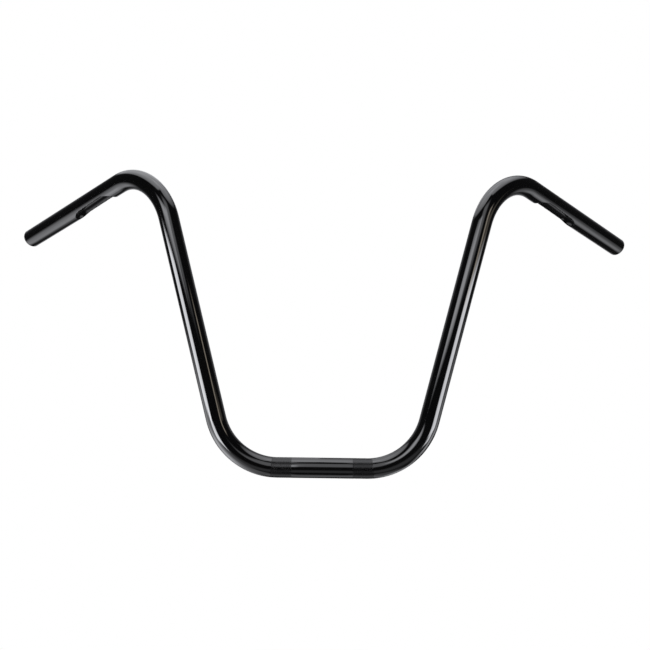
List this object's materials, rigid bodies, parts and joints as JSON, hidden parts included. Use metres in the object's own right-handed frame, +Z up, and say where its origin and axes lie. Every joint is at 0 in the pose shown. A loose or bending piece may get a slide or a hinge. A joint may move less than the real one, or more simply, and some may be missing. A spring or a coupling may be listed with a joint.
{
  "type": "ape hanger handlebar",
  "caption": "Tall bent tubular handlebar with a straight clamp zone, leaning uprights and swept-back, dipping grips with wiring grooves.",
  "frame": {"origin": "centre of the clamp zone, on the tube axis", "axes": "+X along the clamp zone toward the rider's left, +Y back toward the rider, +Z up; the clamp zone and the uprights lie in the XZ plane"},
  "size_m": [0.8796, 0.1977, 0.3899],
  "materials": {
    "gloss_black_coating": "gloss black coating over steel tube"
  },
  "bodies": {
    "root": {"handlebar": "gloss_black_coating"}
  },
  "joints": []
}
